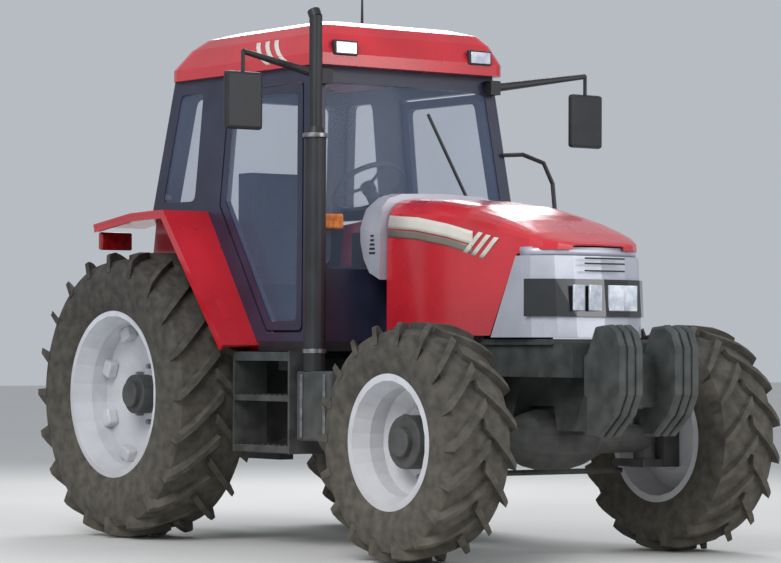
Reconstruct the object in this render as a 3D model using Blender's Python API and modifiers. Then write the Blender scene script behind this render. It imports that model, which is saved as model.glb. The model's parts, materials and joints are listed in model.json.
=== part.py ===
"""Four-wheel-drive farm tractor with a cab, built in metres: +X forward, +Y left, +Z up.

Every piece is measured from the rear axle datum, a point on the ground under the middle of
the rear axle. The datum itself is placed so that the origin lies under the middle of the
whole machine. A side is -1 for the right and +1 for the left.
"""

import math

import bmesh
import bpy
from mathutils import Matrix, Vector

# ------------------------------------------------------------------ driving dimensions
WHEELBASE = 2.41
REAR_OVERHANG = 0.95          # rear axle to the eyes of the lower links
FRONT_OVERHANG = 0.80         # front axle to the face of the front weights

GAP = 0.0003                  # between pieces that touch
RUNNING_GAP = 0.0006          # round a shaft in its bore
SWING_GAP = 0.012             # round a door

WHEEL_STEPS = 24              # facets round a wheel; one facet lies flat on the ground
FLAT = math.cos(math.pi / WHEEL_STEPS)

REAR_TYRE_R, REAR_TYRE_W = 0.772, 0.472
REAR_BEAD_R, REAR_RIM_W = 0.432, 0.400
REAR_TRACK = 1.717
FRONT_TYRE_R, FRONT_TYRE_W = 0.576, 0.375
FRONT_BEAD_R, FRONT_RIM_W = 0.305, 0.325
FRONT_TRACK = 1.667
FLANGE_H = 0.027              # rim flange above the bead seat
AXLE_SHAFT_R = 0.045
KINGPIN_Y = 0.600

CAB_FLOOR_Z, FLOOR_T = 1.000, 0.050
CAB_TOP_Z = 2.470
CAB_TOP_HALF_W = 0.580
TUMBLEHOME = 0.092            # sideways lean of the cab walls, outwards per metre down
CAB_FRONT_TOP_X = 1.190
FRONT_RAKE = 0.130            # forward lean of the windscreen per metre down
CAB_REAR_TOP_X = -0.150
REAR_RAKE = 0.170
POST_W = 0.070
FRAME_T = 0.060               # thickness of the front and rear frames
SIDE_T = 0.050                # thickness of the side frames
GLASS_T = 0.006
DOOR_T = 0.035
HINGE_OUT = 0.040             # door hinge line, outside the door's outer face
B_POST_X = (0.150, 0.300)

ROOF_X = (-0.185, 1.262)
ROOF_HALF_W = 0.612
ROOF_H = 0.270

FENDER_Y = (0.600, 0.930)     # inner and outer edge of a rear fender
FENDER_T = 0.015
FENDER_SKIRT = 0.045
FENDER_TOP_Z = 1.745
FENDER_REAR_X = -0.430
LEG_FROM = (0.290, FENDER_TOP_Z)
LEG_TO = (0.880, 1.030)
DOOR_REAR_X = 0.400           # where the door's upper rear edge stands
LEG_FRAME_W = 0.100           # frame strip between fender and door, along X

HOOD_REAR_X = 1.530
HOOD_REAR_W, HOOD_FRONT_W = 0.362, 0.345
NOSE_X = 2.775
NOSE_TOP_Z, NOSE_LOW_Z = 1.500, 1.070
NOSE_SEAM_LOW_X, NOSE_SEAM_TOP_X = 2.365, 2.576
NOSE_LEAN = 0.10
HOOD_LOW_Z = 1.080
SHELL_T = 0.008

FRAME_HALF_W = 0.300
FRAME_Z = (0.880, 1.045)
PIVOT_Z = 0.690               # front axle pivot pin
PIVOT_R = 0.045
ENGINE_HALF_W = 0.220
ENGINE_X = (1.380, 2.150)
BOX_X = (1.360, 1.660)        # battery box and fuel tank
BOX_OUT_Y = 0.800
BOX_Z = (0.550, 0.900)
STEP_X = (0.810, 1.330)
EXHAUST_AT = (1.440, -0.745)
EXHAUST_TOP_Z = 2.715

DATUM_X = REAR_OVERHANG - (REAR_OVERHANG + WHEELBASE + FRONT_OVERHANG) / 2
FRONT_X = WHEELBASE
REAR_Z = REAR_TYRE_R * FLAT
FRONT_Z = FRONT_TYRE_R * FLAT
SIDES = (("right", -1), ("left", 1))

# ------------------------------------------------------------------ scene and materials
for old in list(bpy.data.objects):
    bpy.data.objects.remove(old)

PARTS = bpy.data.collections.new("farm_tractor")
CUTTERS = bpy.data.collections.new("cutters")
for group in (PARTS, CUTTERS):
    bpy.context.scene.collection.children.link(group)

DATUM = bpy.data.objects.new("rear_axle_datum", None)
DATUM.location = (DATUM_X, 0, 0)
PARTS.objects.link(DATUM)

# name: (colour, roughness, metallic)
FINISHES = {
    "red_paint": ((0.60, 0.02, 0.02), 0.30, 0.0),
    "silver_paint": ((0.55, 0.56, 0.58), 0.35, 0.3),
    "white_rim": ((0.80, 0.80, 0.80), 0.40, 0.0),
    "charcoal_paint": ((0.045, 0.050, 0.052), 0.55, 0.0),
    "black_trim": ((0.02, 0.02, 0.022), 0.60, 0.0),
    "cab_grey": ((0.05, 0.05, 0.07), 0.50, 0.0),
    "tyre_rubber": ((0.035, 0.034, 0.033), 0.90, 0.0),
    "glass": ((0.70, 0.78, 0.80), 0.05, 0.0),
    "seat_fabric": ((0.06, 0.07, 0.10), 0.90, 0.0),
    "lamp": ((0.80, 0.80, 0.82), 0.10, 0.0),
    "bare_steel": ((0.35, 0.35, 0.36), 0.40, 0.9),
}


def finish_named(name):
    """The Principled material of that name, made once."""
    material = bpy.data.materials.get(name)
    if material is None:
        colour, roughness, metallic = FINISHES[name]
        material = bpy.data.materials.new(name)
        material.use_nodes = True
        shader = material.node_tree.nodes["Principled BSDF"]
        shader.inputs["Base Color"].default_value = (*colour, 1)
        shader.inputs["Roughness"].default_value = roughness
        shader.inputs["Metallic"].default_value = metallic
    return material


# ------------------------------------------------------------------ ways to make a shape
def place(name, data, finish):
    """Puts new mesh or curve data in the tractor's collection, on the datum."""
    data.name = name
    obj = bpy.data.objects.new(name, data)
    PARTS.objects.link(obj)
    obj.parent = DATUM
    data.materials.append(finish_named(finish))
    return obj


def mesh_from(bm, name, finish):
    data = bpy.data.meshes.new(name)
    bmesh.ops.recalc_face_normals(bm, faces=bm.faces)
    bm.to_mesh(data)
    bm.free()
    return place(name, data, finish)


def box(name, x, y, z, finish):
    """A block between two values on each axis."""
    bm = bmesh.new()
    bmesh.ops.create_cube(bm, size=1)
    size = Vector((x[1] - x[0], y[1] - y[0], z[1] - z[0]))
    centre = Vector((sum(x), sum(y), sum(z))) / 2
    bmesh.ops.transform(bm, matrix=Matrix.Translation(centre) @ Matrix.Diagonal((*size, 1)), verts=bm.verts)
    return mesh_from(bm, name, finish)


def rod(name, start, end, radius, finish, end_radius=None, sides=16):
    """A round bar, or a cone, from one point to another."""
    start, end = Vector(start), Vector(end)
    bm = bmesh.new()
    bmesh.ops.create_cone(bm, cap_ends=True, segments=sides, radius1=radius,
                          radius2=radius if end_radius is None else end_radius, depth=(end - start).length)
    turn = (end - start).to_track_quat("Z", "Y").to_matrix().to_4x4()
    bmesh.ops.transform(bm, matrix=Matrix.Translation((start + end) / 2) @ turn, verts=bm.verts)
    return mesh_from(bm, name, finish)


def plate(name, loops, thickness, matrix, finish):
    """A flat plate: the first loop is its outline and the others are holes, in the plane of the matrix."""
    curve = bpy.data.curves.new(name, "CURVE")
    curve.dimensions = "2D"
    curve.fill_mode = "BOTH"
    curve.extrude = thickness / 2
    for loop in loops:
        spline = curve.splines.new("POLY")
        spline.points.add(len(loop) - 1)
        spline.use_cyclic_u = True
        for point, (across, up) in zip(spline.points, loop):
            point.co = (across, up, 0, 1)
    guide = bpy.data.objects.new(name, curve)
    bpy.context.scene.collection.objects.link(guide)
    bpy.context.view_layer.update()
    graph = bpy.context.evaluated_depsgraph_get()
    data = bpy.data.meshes.new_from_object(guide.evaluated_get(graph))
    bpy.data.objects.remove(guide)
    bm = bmesh.new()
    bm.from_mesh(data)
    bmesh.ops.remove_doubles(bm, verts=bm.verts, dist=1e-6)
    bmesh.ops.transform(bm, matrix=matrix, verts=bm.verts)
    return mesh_from(bm, name, finish)


def side_plane(y, thickness_out=0.0):
    """Plane of a plate whose outline is (x, z), standing at that y."""
    return Matrix(((1, 0, 0, 0), (0, 0, -1, y + thickness_out), (0, 1, 0, 0), (0, 0, 0, 1)))


def flat_plane(z):
    """Plane of a plate whose outline is (x, y), lying at that height."""
    return Matrix.Translation((0, 0, z))


def loft(name, rings, finish, closed=True, caps=True):
    """Skin over sections that have as many points as each other."""
    bm = bmesh.new()
    rows = [[bm.verts.new(point) for point in ring] for ring in rings]
    count = len(rows[0])
    for low, high in zip(rows, rows[1:]):
        for i in range(count if closed else count - 1):
            j = (i + 1) % count
            bm.faces.new((low[i], low[j], high[j], high[i]))
    if closed and caps:
        bm.faces.new(rows[0])
        bm.faces.new(rows[-1])
    return mesh_from(bm, name, finish)


def standing(outward):
    """Turns local Z to the outward direction along Y."""
    return Matrix(((1, 0, 0, 0), (0, 0, outward, 0), (0, -outward, 0, 0), (0, 0, 0, 1)))


def turned(name, profile, centre, finish, steps=WHEEL_STEPS, outward=1, closed=True):
    """A shape turned about a line along Y through the centre. The profile is (radius, distance outwards)."""
    bm = bmesh.new()
    verts = [bm.verts.new((radius, 0, along)) for radius, along in profile]
    for a, b in zip(verts, verts[1:] + (verts[:1] if closed else [])):
        bm.edges.new((a, b))
    data = bpy.data.meshes.new(name)
    bm.to_mesh(data)
    bm.free()
    obj = place(name, data, finish)
    half_step = math.pi / steps
    spin = Matrix.Rotation(half_step + math.pi / 2, 4, "Z")
    data.transform(spin)
    screw = obj.modifiers.new("turn", "SCREW")
    screw.angle = 2 * math.pi
    screw.steps = screw.render_steps = steps
    screw.use_merge_vertices = True
    screw.merge_threshold = 0.0001
    screw.use_normal_calculate = True
    obj.matrix_local = Matrix.Translation(centre) @ standing(outward)
    return obj


def boolean(obj, other, operation):
    """Joins or cuts with another object, which becomes a helper."""
    PARTS.objects.unlink(other)
    CUTTERS.objects.link(other)
    other.hide_render = True
    other.display_type = "WIRE"
    modifier = obj.modifiers.new(other.name, "BOOLEAN")
    modifier.operation = operation
    modifier.object = other
    modifier.solver = "EXACT"
    return obj


def join(obj, *others):
    for other in others:
        boolean(obj, other, "UNION")
    return obj


def cut(obj, *others):
    for other in others:
        boolean(obj, other, "DIFFERENCE")
    return obj


# ------------------------------------------------------------------ wheels
def tyre_profile(radius, width, bead, rim_width):
    """Half-round shoulders over a flat crown, closed along the bead seat."""
    half, tread = width / 2, width * 0.40
    foot = rim_width / 2 - 0.014
    wall = bead + (radius - bead) * 0.45
    shoulder = radius - 0.045
    outer = [(radius, tread * 0.45), (radius - 0.008, tread * 0.9), (shoulder, half * 0.95), (wall, half),
             (bead + FLANGE_H + 0.02, foot), (bead + GAP, foot)]
    return outer + [(r, -y) for r, y in reversed(outer)]


def rim_profile(bead, rim_width, face, dish, boss_r, boss_out):
    """Barrel with two flanges, a dished disc and a boss bored for the axle shaft."""
    half, thick = rim_width / 2, 0.012
    flange, well = bead + FLANGE_H, bead - 0.035
    bore = AXLE_SHAFT_R + RUNNING_GAP
    inside = well - thick
    return [(flange, half), (flange, half - thick), (bead, half - thick - 0.002), (bead, half * 0.55),
            (well, half * 0.35), (bead, -half * 0.2), (bead, -half + thick + 0.002), (flange, -half + thick),
            (flange, -half), (bead - thick, -half), (inside, face + dish - 0.02), (boss_r + 0.05, face - 0.016),
            (bore, face - 0.016), (bore, face + boss_out), (boss_r, face + boss_out), (boss_r, face),
            (boss_r + 0.06, face), (inside, face + dish), (inside, half * 0.5), (bead - thick, half)]


for side, s in SIDES:
    for end, x, z, radius, width, bead, rim_w, track, face, dish, boss_r, boss_out in (
        ("rear", 0.0, REAR_Z, REAR_TYRE_R, REAR_TYRE_W, REAR_BEAD_R, REAR_RIM_W, REAR_TRACK,
         -0.055, 0.060, 0.095, 0.035),
        ("front", FRONT_X, FRONT_Z, FRONT_TYRE_R, FRONT_TYRE_W, FRONT_BEAD_R, FRONT_RIM_W, FRONT_TRACK,
         -0.045, 0.045, 0.115, 0.065),
    ):
        centre = (x, s * track / 2, z)
        turned(f"{end}_tyre_{side}", tyre_profile(radius, width, bead, rim_w), centre, "tyre_rubber", outward=s)
        turned(f"{end}_rim_{side}", rim_profile(bead, rim_w, face, dish, boss_r, boss_out), centre,
               "white_rim", outward=s)

# ------------------------------------------------------------------ drive line and frame
TRANS_HALF_W = 0.240


def chamfered(x, half_w, low, high, c=0.05):
    """Eight-sided section across the tractor."""
    return [(x, half_w, low + c), (x, half_w, high - c), (x, half_w - c, high), (x, -half_w + c, high),
            (x, -half_w, high - c), (x, -half_w, low + c), (x, -half_w + c, low), (x, half_w - c, low)]


HITCH_X, LINK_Z, LIFT_Z = -0.330, 0.500, 0.880    # lower and upper cross shafts of the hitch
LINK_Y, LIFT_REACH, HITCH_PIN_R = 0.400, 0.280, 0.022
HOUSING_TOP = CAB_FLOOR_Z - GAP
# x, half width, bottom, top
housing = loft("transmission_housing", [chamfered(*row) for row in (
    (-0.390, 0.180, 0.450, 0.930), (-0.300, TRANS_HALF_W, 0.440, 0.960), (-0.260, TRANS_HALF_W, 0.440, HOUSING_TOP),
    (0.300, TRANS_HALF_W, 0.440, HOUSING_TOP), (0.420, 0.180, 0.500, HOUSING_TOP),
    (ENGINE_X[0] - GAP, 0.180, 0.500, HOUSING_TOP))], "charcoal_paint")
for z in (LINK_Z, LIFT_Z):
    join(housing, rod("hitch_shaft", (HITCH_X, -LINK_Y - 0.030, z), (HITCH_X, LINK_Y + 0.030, z), HITCH_PIN_R,
                      "charcoal_paint"))

HUB_INNER_Y = REAR_TRACK / 2 - 0.055 - 0.016    # inner face of the rear wheel's disc
for side, s in SIDES:
    trumpet = [(0.0, TRANS_HALF_W - 0.030), (0.170, TRANS_HALF_W - 0.030), (0.150, 0.330), (0.105, 0.420),
               (0.095, HUB_INNER_Y - 0.060), (0.120, HUB_INNER_Y - 0.055), (0.120, HUB_INNER_Y - 0.006),
               (AXLE_SHAFT_R, HUB_INNER_Y - 0.006), (AXLE_SHAFT_R, HUB_INNER_Y + 0.045),
               (0.0, HUB_INNER_Y + 0.045)]
    join(housing, turned("axle_trumpet", trumpet, (0, 0, REAR_Z), "charcoal_paint", outward=s, closed=False))

ENGINE_TOP_Z = 1.364
loft("engine_block", [chamfered(x, ENGINE_HALF_W, low, high, 0.03) for x, low, high in (
    (ENGINE_X[0], 0.620, ENGINE_TOP_Z - GAP), (ENGINE_X[1] - GAP, 0.620, ENGINE_TOP_Z - GAP))], "charcoal_paint")

frame = box("front_frame", (2.150, 2.930), (-FRAME_HALF_W, FRAME_HALF_W), FRAME_Z, "charcoal_paint")
join(frame,
     box("frame_sill", (2.260, 2.790), (-0.320, 0.320), (FRAME_Z[1] - 0.01, NOSE_LOW_Z - 0.008), "charcoal_paint"))
for x0, x1, foot0, foot1 in ((2.170, 2.330, 2.190, 2.235), (2.540, 2.840, 2.600, 2.730)):
    leg = plate("frame_leg", [[(x0, FRAME_Z[0] + 0.02), (x1, FRAME_Z[0] + 0.02), (foot1, PIVOT_Z - 0.07),
                               (foot0, PIVOT_Z - 0.07)]], 0.240, side_plane(0), "charcoal_paint")
    join(frame, leg)
cut(frame, rod("pivot_bore", (2.10, 0, PIVOT_Z), (2.80, 0, PIVOT_Z), PIVOT_R + RUNNING_GAP, "charcoal_paint",
               sides=20))

beam_half = [(0.0, KINGPIN_Y - 0.02), (0.070, KINGPIN_Y - 0.02), (0.075, 0.300), (0.130, 0.170), (0.150, 0.080)]
beam = turned("front_axle_beam", beam_half + [(r, -y) for r, y in reversed(beam_half)], (FRONT_X, 0, FRONT_Z),
              "charcoal_paint", steps=20, closed=False)
join(beam, rod("pivot_pin", (2.195, 0, PIVOT_Z), (2.725, 0, PIVOT_Z), PIVOT_R, "charcoal_paint", sides=20))
KINGPIN_Z = (FRONT_Z - 0.105, FRONT_Z + 0.105)
for side, s in SIDES:
    join(beam, rod("kingpin_boss", (FRONT_X, s * KINGPIN_Y, KINGPIN_Z[0]), (FRONT_X, s * KINGPIN_Y, KINGPIN_Z[1]),
                   0.055, "charcoal_paint"))

FRONT_HUB_Y = FRONT_TRACK / 2 - 0.045 - 0.016   # inner face of the front wheel's disc
for side, s in SIDES:
    web_in, web_out = KINGPIN_Y + 0.064, FRONT_HUB_Y - 0.006
    knuckle = box(f"steering_knuckle_{side}", (FRONT_X - 0.075, FRONT_X + 0.075), sorted((s * web_in, s * web_out)),
                  (KINGPIN_Z[0] - 0.04, KINGPIN_Z[1] + 0.04), "charcoal_paint")
    for low, high in ((KINGPIN_Z[0] - 0.04, KINGPIN_Z[0] - RUNNING_GAP), (KINGPIN_Z[1] + RUNNING_GAP, KINGPIN_Z[1] + 0.04)):
        join(knuckle, box("knuckle_ear", (FRONT_X - 0.06, FRONT_X + 0.06),
                          sorted((s * (KINGPIN_Y - 0.06), s * (web_in + 0.01))), (low, high), "charcoal_paint"))
    join(knuckle, rod("spindle", (FRONT_X, s * (web_out - 0.01), FRONT_Z), (FRONT_X, s * (FRONT_HUB_Y + 0.07), FRONT_Z),
                      AXLE_SHAFT_R, "charcoal_paint", sides=WHEEL_STEPS))

rod("front_drive_shaft", (ENGINE_X[0], 0, 0.560), (FRONT_X - 0.150 - GAP, 0, 0.560), 0.030, "charcoal_paint")

# ------------------------------------------------------------------ front weights
WEIGHT_FACE_X = FRONT_X + FRONT_OVERHANG
WEIGHT_T, WEIGHT_GROOVE, WEIGHT_INSET = 0.046, 0.006, 0.012
WEIGHT_IN_Y = 0.100
weights = box("front_weights", (2.930 + GAP, 3.060), (-WEIGHT_IN_Y - 0.010, WEIGHT_IN_Y + 0.010), (0.740, 0.990),
              "charcoal_paint")
# side outline of one suitcase weight, back from the face and up from the ground
weight_outline = [(0.0, 0.800), (0.0, 1.030), (-0.030, 1.100), (-0.080, 1.130), (-0.180, 1.120), (-0.235, 1.000),
                  (-0.262, 0.980), (-0.262, 0.800), (-0.240, 0.780), (-0.240, 0.600), (-0.160, 0.600), (-0.050, 0.700)]
middle = Vector((-0.130, 0.880))


def weight_ring(y, inset):
    shrink = 1 - inset / 0.15
    return [(WEIGHT_FACE_X + middle.x + (x - middle.x) * shrink, y, middle.y + (z - middle.y) * shrink)
            for x, z in weight_outline]


for side, s in SIDES:
    rings = []
    for k in range(3):
        y0 = WEIGHT_IN_Y + k * (WEIGHT_T + WEIGHT_GROOVE)
        rings += [weight_ring(s * (y0 + 0.004), 0.004), weight_ring(s * (y0 + 0.012), 0.0),
                  weight_ring(s * (y0 + WEIGHT_T - 0.012), 0.0), weight_ring(s * (y0 + WEIGHT_T - 0.004), 0.004)]
        if k < 2:
            rings += [weight_ring(s * (y0 + WEIGHT_T - 0.003), WEIGHT_INSET),
                      weight_ring(s * (y0 + WEIGHT_T + WEIGHT_GROOVE + 0.003), WEIGHT_INSET)]
    rings.insert(0, weight_ring(s * (WEIGHT_IN_Y + 0.0), 0.008))
    join(weights, loft("weight_stack", rings, "charcoal_paint"))

# ------------------------------------------------------------------ hood, nose and cowl
def smooth(values, x):
    """Straight lines through a table of (x, value)."""
    for (x0, a), (x1, b) in zip(values, values[1:]):
        if x <= x1:
            return a + (b - a) * (x - x0) / (x1 - x0)
    return values[-1][1]


CROWN = ((1.530, 1.785), (1.900, 1.765), (2.200, 1.722), (2.450, 1.652), (2.620, 1.588), (2.740, 1.532), (2.775, 1.510))
PLAN = ((1.530, HOOD_REAR_W), (2.365, 0.352), (2.600, HOOD_FRONT_W), (2.680, 0.320), (2.735, 0.255), (2.765, 0.150))


def hood_low(x):
    if x <= NOSE_SEAM_LOW_X:
        return HOOD_LOW_Z
    share = min(1.0, (x - NOSE_SEAM_LOW_X) / (NOSE_SEAM_TOP_X - NOSE_SEAM_LOW_X))
    return HOOD_LOW_Z + (NOSE_TOP_Z - HOOD_LOW_Z) * share


def hood_section(x):
    """From the middle of the top, over a square shoulder, down the side."""
    half, crown = smooth(PLAN, x), smooth(CROWN, x)
    points = []
    power = 2 / 4.5
    for k in range(8):
        angle = math.pi / 2 * k / 7
        points.append((x, half * math.sin(angle) ** power, NOSE_TOP_Z + (crown - NOSE_TOP_Z) * math.cos(angle) ** power))
    low = hood_low(x)
    points += [(x, half, NOSE_TOP_Z - 0.001 + (low - NOSE_TOP_Z) * share) for share in (0.5, 1.0)]
    return points


hood = loft("hood", [hood_section(x) for x in (1.530, 1.850, 2.150, 2.365, 2.470, 2.560, 2.640, 2.700, 2.740, 2.762)],
            "red_paint", closed=False)
nose_levels = (NOSE_LOW_Z, 1.285, NOSE_TOP_Z - 0.038)
NOSE_PLAN = ((2.600, HOOD_FRONT_W), (2.655, 0.335), (2.700, 0.305), (2.735, 0.255), (2.760, 0.160), (NOSE_X, 0.0))


def nose_ring(z, out=0.0, back_x=None):
    """Half of the U round the front at one height, from the seam to the middle."""
    lean = (NOSE_TOP_Z - z) * NOSE_LEAN
    seam = NOSE_SEAM_LOW_X + (NOSE_SEAM_TOP_X - NOSE_SEAM_LOW_X) * (z - NOSE_LOW_Z) / (NOSE_TOP_Z - NOSE_LOW_Z) + 0.002
    start = seam if back_x is None else back_x
    points = [(start, HOOD_FRONT_W + 0.004 + out, z)]
    for x, y in NOSE_PLAN:
        share = (x - NOSE_PLAN[0][0]) / (NOSE_X - NOSE_PLAN[0][0])
        points.append((x + (lean + out) * share, y + (out + 0.003 * (1 - share)) * (y / HOOD_FRONT_W), z))
    return points


nose = loft("nose_cowling", [nose_ring(z) for z in nose_levels], "silver_paint", closed=False)
for shell in (hood, nose):
    mirror = shell.modifiers.new("both_sides", "MIRROR")
    mirror.use_axis = (False, True, False)
    mirror.merge_threshold = 0.0001
    wall = shell.modifiers.new("wall", "SOLIDIFY")
    wall.thickness = SHELL_T
    wall.offset = -1
    wall.use_even_offset = False

# the lamp bar is a flat band bent round the nose, standing just off it
LAMP_Z = (1.170, 1.350)
LAMP_T = 0.012
lamp_rings = []
for z in LAMP_Z:
    inner = nose_ring(z, 0.0015, 2.640)
    inner[1] = (2.660, inner[2][1] + 0.004, z)
    inner = [(x, y + 0.0, z) for x, y, z in inner]
    outer = nose_ring(z, 0.0015 + LAMP_T, 2.640)
    outer[1] = (2.660, outer[2][1] + 0.004, z)
    half = [p for p in outer]
    lamp_rings.append([p for p in outer] + [(x, -y, z) for x, y, z in reversed(outer[:-1])]
                      + [(x, -y, z) for x, y, z in inner[:-1]] + [p for p in reversed(inner)])
loft("headlamp_bar", lamp_rings, "lamp")

COWL_HALF_W = 0.400
cowl_rings = []
# x, bottom, top
for x, low, high in ((1.350, 1.560, 1.700), (1.380, 1.470, 1.780), (1.430, 1.400, 1.815),
                     (HOOD_REAR_X - 0.010, ENGINE_TOP_Z, 1.812)):
    ring = []
    for k in range(9):
        angle = math.pi * (k / 8 - 0.5)
        across = math.copysign(abs(math.sin(angle)) ** 0.45, math.sin(angle))
        ring.append((x, COWL_HALF_W * across, (low + high) / 2 + (high - low) / 2 * max(0, math.cos(angle)) ** 0.45))
    cowl_rings.append(ring + [(x, COWL_HALF_W, low), (x, -COWL_HALF_W, low)])
loft("cowl", cowl_rings, "silver_paint")

# ------------------------------------------------------------------ cab
FLOOR_TOP = CAB_FLOOR_Z + FLOOR_T
CAB_LOW, CAB_HIGH = FLOOR_TOP + GAP, CAB_TOP_Z - GAP


def wall_y(z):
    """Half width over the cab's side walls at a height."""
    return CAB_TOP_HALF_W + TUMBLEHOME * (CAB_TOP_Z - z)


def front_x(z):
    return CAB_FRONT_TOP_X + FRONT_RAKE * (CAB_TOP_Z - z)


def rear_x(z):
    return CAB_REAR_TOP_X - REAR_RAKE * (CAB_TOP_Z - z)


def leg_x(z):
    """The sloping front face of the fender."""
    return LEG_FROM[0] + (LEG_TO[0] - LEG_FROM[0]) * (z - LEG_FROM[1]) / (LEG_TO[1] - LEG_FROM[1])


def wall_plane(s, out):
    """Plane of a side plate: its outline is (x, z) and it leans with the wall."""
    at = s * (CAB_TOP_HALF_W + TUMBLEHOME * CAB_TOP_Z + out)
    return Matrix(((1, 0, 0, 0), (0, -s * TUMBLEHOME, s, at), (0, 1, 0, 0), (0, 0, 0, 1)))


def cross_plane(top_x, rake, out):
    """Plane of a front or rear plate: its outline is (y, z) and it leans along X."""
    return Matrix(((0, -rake, 1, top_x + rake * CAB_TOP_Z + out), (1, 0, 0, 0), (0, 1, 0, 0), (0, 0, 0, 1)))


def rounded(corners, radius, steps=3):
    """A polygon with every corner rounded."""
    points = []
    count = len(corners)
    for i, corner in enumerate(corners):
        corner = Vector(corner)
        before = (Vector(corners[i - 1]) - corner).normalized()
        after = (Vector(corners[(i + 1) % count]) - corner).normalized()
        half = before.angle(after) / 2
        reach = radius / math.tan(half)
        start, end = corner + before * reach, corner + after * reach
        for k in range(steps + 1):
            t = k / steps
            points.append(tuple((1 - t) ** 2 * start + 2 * t * (1 - t) * corner + t * t * end))
    return points


def inset(corners, amount):
    """A convex or nearly convex polygon drawn in by the same amount all round."""
    count = len(corners)
    area = sum(corners[i - 1][0] * corners[i][1] - corners[i][0] * corners[i - 1][1] for i in range(count))
    turn = 1 if area > 0 else -1
    points = []
    for i, corner in enumerate(corners):
        corner = Vector(corner)
        before = (corner - Vector(corners[i - 1])).normalized()
        after = (Vector(corners[(i + 1) % count]) - corner).normalized()
        normal = (Vector((-before.y, before.x)) + Vector((-after.y, after.x))) * turn
        points.append(tuple(corner + normal / (1 + before.dot(after)) * amount))
    return points


SHELF_Z = FENDER_TOP_Z + GAP
inner_back = FENDER_Y[0] - GAP
floor_wide = wall_y(FLOOR_TOP)
floor_outline = [(rear_x(FLOOR_TOP), -inner_back), (LEG_TO[0] + 0.001, -inner_back),
                 (LEG_TO[0] + 0.001, -floor_wide), (front_x(FLOOR_TOP), -floor_wide),
                 (front_x(FLOOR_TOP), floor_wide), (LEG_TO[0] + 0.001, floor_wide),
                 (LEG_TO[0] + 0.001, inner_back), (rear_x(FLOOR_TOP), inner_back)]
plate("cab_floor", [floor_outline], FLOOR_T, flat_plane(CAB_FLOOR_Z + FLOOR_T / 2), "black_trim")

WINDSHIELD_Z = (1.420, CAB_TOP_Z - 0.085)
REAR_WINDOW_Z = (1.500, CAB_TOP_Z - 0.085)
front_outline = [(-wall_y(CAB_LOW), CAB_LOW), (wall_y(CAB_LOW), CAB_LOW), (wall_y(CAB_HIGH), CAB_HIGH),
                 (-wall_y(CAB_HIGH), CAB_HIGH)]
rear_outline = [(-inner_back, CAB_LOW), (inner_back, CAB_LOW), (inner_back, SHELF_Z), (wall_y(SHELF_Z), SHELF_Z),
                (wall_y(CAB_HIGH), CAB_HIGH), (-wall_y(CAB_HIGH), CAB_HIGH), (-wall_y(SHELF_Z), SHELF_Z),
                (-inner_back, SHELF_Z)]


def window_corners(heights, post):
    low, high = heights
    return [(-wall_y(low) + post, low), (wall_y(low) - post, low), (wall_y(high) - post, high),
            (-wall_y(high) + post, high)]


for name, outline, heights, post, top_x, rake, out in (
    ("cab_front_frame", front_outline, WINDSHIELD_Z, POST_W, CAB_FRONT_TOP_X, FRONT_RAKE, -FRAME_T / 2),
    ("cab_rear_frame", rear_outline, REAR_WINDOW_Z, POST_W + 0.060, CAB_REAR_TOP_X, -REAR_RAKE, FRAME_T / 2),
):
    hole = window_corners(heights, post)
    plate(name, [outline, rounded(hole, 0.05)], FRAME_T, cross_plane(top_x, rake, out), "cab_grey")
    glass = "windshield" if "front" in name else "rear_window"
    plate(glass, [rounded(inset(hole, GAP), 0.05)], GLASS_T, cross_plane(top_x, rake, out + (0.02 if rake > 0 else -0.02)), "glass")

HEADER_Z = CAB_TOP_Z - 0.075
SILL_Z = FLOOR_TOP + 0.045
door_kink_z = 1.770


def front_inner(z):
    return front_x(z) - FRAME_T - GAP


def rear_inner(z):
    return rear_x(z) + FRAME_T + GAP


A_STRIP = 0.030
side_outline = [(rear_inner(SHELF_Z), SHELF_Z), (LEG_FROM[0] + 2 * GAP, SHELF_Z),
                (leg_x(CAB_LOW) + 2 * GAP, CAB_LOW), (front_inner(CAB_LOW), CAB_LOW),
                (front_inner(CAB_HIGH), CAB_HIGH), (rear_inner(CAB_HIGH), CAB_HIGH)]
door_hole = [(leg_x(SILL_Z) + LEG_FRAME_W + 0.02, SILL_Z), (front_inner(SILL_Z) - A_STRIP, SILL_Z),
             (front_inner(HEADER_Z) - A_STRIP, HEADER_Z), (DOOR_REAR_X, HEADER_Z), (DOOR_REAR_X, door_kink_z)]
quarter_hole = [(rear_inner(SHELF_Z + 0.06) + 0.030, SHELF_Z + 0.060), (B_POST_X[0], SHELF_Z + 0.060),
                (B_POST_X[0], HEADER_Z), (rear_inner(HEADER_Z) + 0.030, HEADER_Z)]
door_corners = inset(door_hole, SWING_GAP)
window_gap = 0.045
door_window = inset(door_corners, window_gap)
for side, s in SIDES:
    plate(f"cab_side_{side}", [side_outline, rounded(door_hole, 0.03), rounded(quarter_hole, 0.04)], SIDE_T,
          wall_plane(s, -SIDE_T / 2), "cab_grey")
    plate(f"quarter_glass_{side}", [rounded(inset(quarter_hole, GAP), 0.04)], GLASS_T, wall_plane(s, -0.010), "glass")
    plate(f"door_{side}", [rounded(door_corners, 0.03), rounded(door_window, 0.04)], DOOR_T,
          wall_plane(s, -DOOR_T / 2), "cab_grey")
    plate(f"door_glass_{side}", [rounded(inset(door_window, GAP), 0.04)], GLASS_T, wall_plane(s, -0.010), "glass")


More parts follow.
